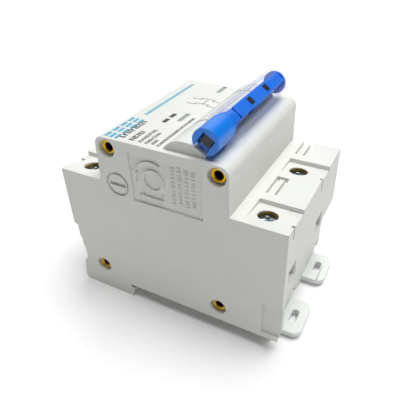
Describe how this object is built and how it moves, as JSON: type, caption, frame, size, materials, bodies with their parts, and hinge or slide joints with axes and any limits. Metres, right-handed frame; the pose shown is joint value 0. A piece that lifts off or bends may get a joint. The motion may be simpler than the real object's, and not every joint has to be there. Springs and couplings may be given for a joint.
{
  "type": "two-pole miniature circuit breaker",
  "caption": "Rail-mounted circuit breaker with linked blue toggles under a clear cover, clamp terminals at both ends and sprung rail clips.",
  "frame": {"origin": "on the rail seat, at the centre of the width and of the raised nose", "axes": "+X across the poles, +Y along the case from the clip end to the line end, +Z out of the rail"},
  "size_m": [0.054, 0.0843, 0.076],
  "materials": {
    "white_housing": "fine matt moulded thermoset",
    "white_clip": "satin moulded nylon",
    "brass_rivet": "smooth, zinc-yellow tinted",
    "grey_drum": "satin moulding",
    "blue_toggle": "satin gloss moulding",
    "deep_blue_bar": "satin moulding",
    "black_rod": "plain bar",
    "clear_cover": "clear grey-lilac moulding",
    "bright_steel": "bright drawn steel",
    "spring_steel": "drawn wire",
    "brown_moulding": "phenolic moulding",
    "copper": "pressed copper, slightly dulled",
    "copper_braid": "woven bare copper",
    "enamelled_copper": "enamelled wire",
    "dark_steel": "pressed steel",
    "brown_board": "fibre board",
    "ivory_lever": "satin moulding",
    "bimetal_strip": "rolled strip",
    "brassy_cage": "yellow passivated steel",
    "zinc_screw": "blue-white zinc plated"
  },
  "bodies": {
    "case": {"case_left_1": "white_housing", "case_right_1": "white_housing", "case_left_2": "white_housing", "case_right_2": "white_housing", "rivets": "brass_rivet", "toggle_pins": "bright_steel", "toggle_spring_1": "spring_steel", "toggle_spring_2": "spring_steel", "carrier_pins": "bright_steel", "braid_1": "copper_braid", "braid_2": "copper_braid", "fixed_contact_1": "copper", "fixed_contact_2": "copper", "trip_coil_1": "enamelled_copper", "trip_coil_2": "enamelled_copper", "coil_yoke_1": "dark_steel", "coil_yoke_2": "dark_steel", "arc_plates_1": "dark_steel", "arc_plates_2": "dark_steel", "arc_holder_1": "brown_board", "arc_holder_2": "brown_board", "bimetal_1": "bimetal_strip", "bimetal_2": "bimetal_strip", "line_strap_1": "copper", "line_strap_2": "copper", "load_strap_1": "copper", "load_strap_2": "copper", "calibration_screws": "bright_steel", "clip_spring_1": "spring_steel", "clip_spring_2": "spring_steel"},
    "toggle": {"toggle_drum_1": "grey_drum", "toggle_drum_2": "grey_drum", "toggle_paddle_1": "blue_toggle", "toggle_paddle_2": "blue_toggle", "tie_rod": "black_rod", "handle_cap": "blue_toggle", "handle_bar": "deep_blue_bar", "clear_cover": "clear_cover"},
    "link_1": {"toggle_link_1": "bright_steel"},
    "link_2": {"toggle_link_2": "bright_steel"},
    "contact_1": {"contact_carrier_1": "brown_moulding", "contact_arm_1": "copper"},
    "contact_2": {"contact_carrier_2": "brown_moulding", "contact_arm_2": "copper"},
    "plunger_1": {"plunger_1": "bright_steel"},
    "plunger_2": {"plunger_2": "bright_steel"},
    "trip": {"trip_rod": "black_rod", "trip_lever_1": "ivory_lever", "trip_lever_2": "ivory_lever"},
    "clip_1": {"din_clip_1": "white_clip"},
    "clip_2": {"din_clip_2": "white_clip"},
    "line_screw_1": {"line_screw_1": "zinc_screw"},
    "line_clamp_1": {"line_clamp_1": "brassy_cage"},
    "line_screw_2": {"line_screw_2": "zinc_screw"},
    "line_clamp_2": {"line_clamp_2": "brassy_cage"},
    "load_screw_1": {"load_screw_1": "zinc_screw"},
    "load_clamp_1": {"load_clamp_1": "brassy_cage"},
    "load_screw_2": {"load_screw_2": "zinc_screw"},
    "load_clamp_2": {"load_clamp_2": "brassy_cage"}
  },
  "joints": [
    {"name": "toggle_swing", "type": "hinge", "parent": "case", "child": "toggle", "pos_m": [0, -0.0077, 0.055], "axis": [-1, 0, 0], "range_deg": [0, 66]},
    {"name": "link_1_pivot", "type": "hinge", "parent": "toggle", "child": "link_1", "pos_m": [-0.0135, -0.00462, 0.05106], "axis": [1, 0, 0], "range_deg": [0, 66.1]},
    {"name": "contact_1_swing", "type": "hinge", "parent": "case", "child": "contact_1", "pos_m": [-0.0135, -0.0029, 0.03039], "axis": [1, 0, 0], "range_deg": [0, 33.1]},
    {"name": "plunger_1_slide", "type": "slide", "parent": "case", "child": "plunger_1", "axis": [0, -1, 0], "range_m": [0, 0.0019], "stiffness_N_per_m": 150, "springref_m": -0.001},
    {"name": "clip_1_slide", "type": "slide", "parent": "case", "child": "clip_1", "axis": [0, -1, 0], "range_m": [0, 0.0035], "stiffness_N_per_m": 900, "springref_m": -0.002, "deforming": ["clip_spring_1"]},
    {"name": "line_screw_1_turn", "type": "hinge", "parent": "case", "child": "line_screw_1", "pos_m": [-0.02045, 0.0316, 0.0399], "axis": [0, 0, -1], "range_deg": [0, 2701]},
    {"name": "line_clamp_1_slide", "type": "slide", "parent": "case", "child": "line_clamp_1", "axis": [0, 0, 1], "range_m": [0, 0.006]},
    {"name": "load_screw_1_turn", "type": "hinge", "parent": "case", "child": "load_screw_1", "pos_m": [-0.02045, -0.0316, 0.0399], "axis": [0, 0, -1], "range_deg": [0, 2701]},
    {"name": "load_clamp_1_slide", "type": "slide", "parent": "case", "child": "load_clamp_1", "axis": [0, 0, 1], "range_m": [0, 0.006]},
    {"name": "link_2_pivot", "type": "hinge", "parent": "toggle", "child": "link_2", "pos_m": [0.0135, -0.00462, 0.05106], "axis": [1, 0, 0], "range_deg": [0, 66.1]},
    {"name": "contact_2_swing", "type": "hinge", "parent": "case", "child": "contact_2", "pos_m": [0.0135, -0.0029, 0.03039], "axis": [1, 0, 0], "range_deg": [0, 33.1]},
    {"name": "plunger_2_slide", "type": "slide", "parent": "case", "child": "plunger_2", "axis": [0, -1, 0], "range_m": [0, 0.0019], "stiffness_N_per_m": 150, "springref_m": -0.001},
    {"name": "clip_2_slide", "type": "slide", "parent": "case", "child": "clip_2", "axis": [0, -1, 0], "range_m": [0, 0.0035], "stiffness_N_per_m": 900, "springref_m": -0.002, "deforming": ["clip_spring_2"]},
    {"name": "line_screw_2_turn", "type": "hinge", "parent": "case", "child": "line_screw_2", "pos_m": [0.00655, 0.0316, 0.0399], "axis": [0, 0, -1], "range_deg": [0, 2701]},
    {"name": "line_clamp_2_slide", "type": "slide", "parent": "case", "child": "line_clamp_2", "axis": [0, 0, 1], "range_m": [0, 0.006]},
    {"name": "load_screw_2_turn", "type": "hinge", "parent": "case", "child": "load_screw_2", "pos_m": [0.00655, -0.0316, 0.0399], "axis": [0, 0, -1], "range_deg": [0, 2701]},
    {"name": "load_clamp_2_slide", "type": "slide", "parent": "case", "child": "load_clamp_2", "axis": [0, 0, 1], "range_m": [0, 0.006]},
    {"name": "trip_rod_turn", "type": "hinge", "parent": "case", "child": "trip", "pos_m": [0, -0.013, 0.02579], "axis": [1, 0, 0], "range_deg": [0, 5], "stiffness_Nm_per_rad": 0.02, "springref_deg": -5.73}
  ],
  "couplings": [
    {"joint": "link_1_pivot", "follows": "toggle_swing", "ratio": 1},
    {"joint": "contact_1_swing", "follows": "toggle_swing", "ratio": 0.5},
    {"joint": "line_screw_1_turn", "follows": "line_clamp_1_slide", "rad_per_m": 7854},
    {"joint": "load_screw_1_turn", "follows": "load_clamp_1_slide", "rad_per_m": 7854},
    {"joint": "link_2_pivot", "follows": "toggle_swing", "ratio": 1},
    {"joint": "contact_2_swing", "follows": "toggle_swing", "ratio": 0.5},
    {"joint": "line_screw_2_turn", "follows": "line_clamp_2_slide", "rad_per_m": 7854},
    {"joint": "load_screw_2_turn", "follows": "load_clamp_2_slide", "rad_per_m": 7854}
  ]
}
